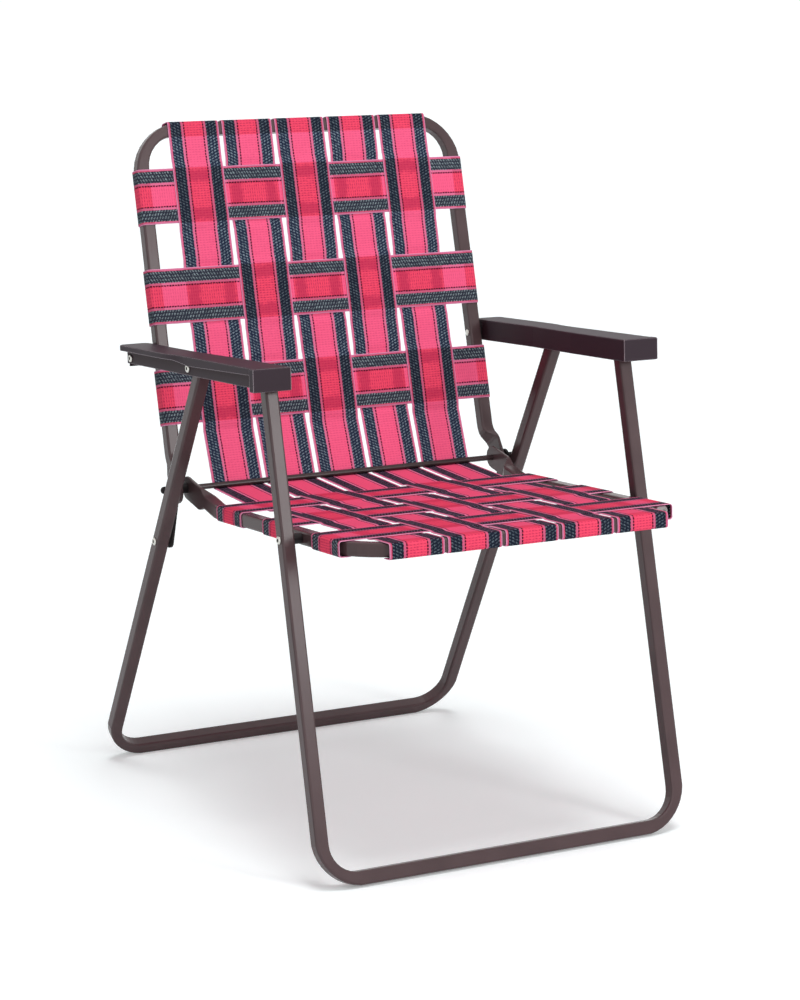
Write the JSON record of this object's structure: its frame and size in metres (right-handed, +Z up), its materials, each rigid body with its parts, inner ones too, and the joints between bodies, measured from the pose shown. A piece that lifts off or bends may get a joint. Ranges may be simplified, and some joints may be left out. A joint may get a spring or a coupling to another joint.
{
  "type": "folding lawn chair",
  "caption": "Folding lawn chair with a square-tube frame, crossed legs, slim armrests and a seat and back woven from striped webbing straps.",
  "frame": {"origin": "on the floor under the middle of the open chair", "axes": "+Z up, the sitter faces -Y, +X across the chair; the chair is the same on both sides of X = 0"},
  "size_m": [0.53, 0.6476, 0.8063],
  "materials": {
    "paint": "satin",
    "moulding": "satin",
    "steel": "satin",
    "rod": "satin",
    "black": "satin",
    "webbing": "woven polypropylene"
  },
  "bodies": {
    "back": {"back_frame": "paint", "cross_rod": "rod", "rod_cap_left": "steel", "rod_cap_right": "steel", "hinge_spacer_left": "black", "hinge_spacer_right": "black", "back_strap_long_1": "webbing", "back_strap_long_2": "webbing", "back_strap_long_3": "webbing", "back_strap_long_4": "webbing", "back_strap_long_5": "webbing", "back_strap_cross_1": "webbing", "back_strap_cross_2": "webbing", "back_strap_cross_3": "webbing"},
    "seat": {"seat_frame": "paint", "seat_strap_long_1": "webbing", "seat_strap_long_2": "webbing", "seat_strap_long_3": "webbing", "seat_strap_long_4": "webbing", "seat_strap_long_5": "webbing", "seat_strap_cross_1": "webbing", "seat_strap_cross_2": "webbing", "seat_strap_cross_3": "webbing", "seat_rivet_left": "steel", "seat_rivet_right": "steel", "seat_spacer_left": "black", "seat_spacer_right": "black"},
    "armrest_left": {"armrest_left": "moulding", "arm_rivet_left": "steel", "arm_washer_left": "black", "rear_leg_rivet_left": "steel", "rear_leg_spacer_left": "black"},
    "armrest_right": {"armrest_right": "moulding", "arm_rivet_right": "steel", "arm_washer_right": "black", "rear_leg_rivet_right": "steel", "rear_leg_spacer_right": "black"},
    "front_legs": {"front_leg_frame": "paint", "front_leg_rivet_left": "steel", "front_leg_rivet_right": "steel"},
    "rear_legs": {"rear_leg_frame": "paint", "link_rivet_head_left": "steel", "link_rivet_head_right": "steel"},
    "link_left": {"link_left": "black", "link_rivet_end_left": "steel"},
    "link_right": {"link_right": "black", "link_rivet_end_right": "steel"}
  },
  "joints": [
    {"name": "seat_fold", "type": "hinge", "parent": "back", "child": "seat", "pos_m": [0, 0.12531, 0.38003], "axis": [1, 0, 0], "range_deg": [-96, 0]},
    {"name": "armrest_left_turn", "type": "hinge", "parent": "back", "child": "armrest_left", "pos_m": [0, 0.1869, 0.53173], "axis": [1, 0, 0], "range_deg": [-91, 0]},
    {"name": "armrest_right_turn", "type": "hinge", "parent": "back", "child": "armrest_right", "pos_m": [0, 0.1869, 0.53173], "axis": [1, 0, 0], "range_deg": [-91, 0]},
    {"name": "front_legs_turn", "type": "hinge", "parent": "seat", "child": "front_legs", "pos_m": [0, -0.18132, 0.37752], "axis": [1, 0, 0], "range_deg": [0, 92]},
    {"name": "rear_legs_turn", "type": "hinge", "parent": "armrest_left", "child": "rear_legs", "pos_m": [0, 0.01951, 0.54226], "axis": [1, 0, 0], "range_deg": [0, 46]},
    {"name": "link_left_turn", "type": "hinge", "parent": "back", "child": "link_left", "pos_m": [0, 0.12531, 0.38003], "axis": [1, 0, 0], "range_deg": [-200, 0]},
    {"name": "link_right_turn", "type": "hinge", "parent": "back", "child": "link_right", "pos_m": [0, 0.12531, 0.38003], "axis": [1, 0, 0], "range_deg": [-200, 0]}
  ],
  "couplings": [
    {"joint": "armrest_left_turn", "follows": "seat_fold", "ratio": 0.945},
    {"joint": "armrest_right_turn", "follows": "seat_fold", "ratio": 0.945},
    {"joint": "front_legs_turn", "follows": "seat_fold", "ratio": -0.95698},
    {"joint": "rear_legs_turn", "follows": "seat_fold", "ratio": -0.47802},
    {"joint": "link_left_turn", "follows": "seat_fold", "ratio": 2.0787},
    {"joint": "link_right_turn", "follows": "seat_fold", "ratio": 2.0787}
  ]
}
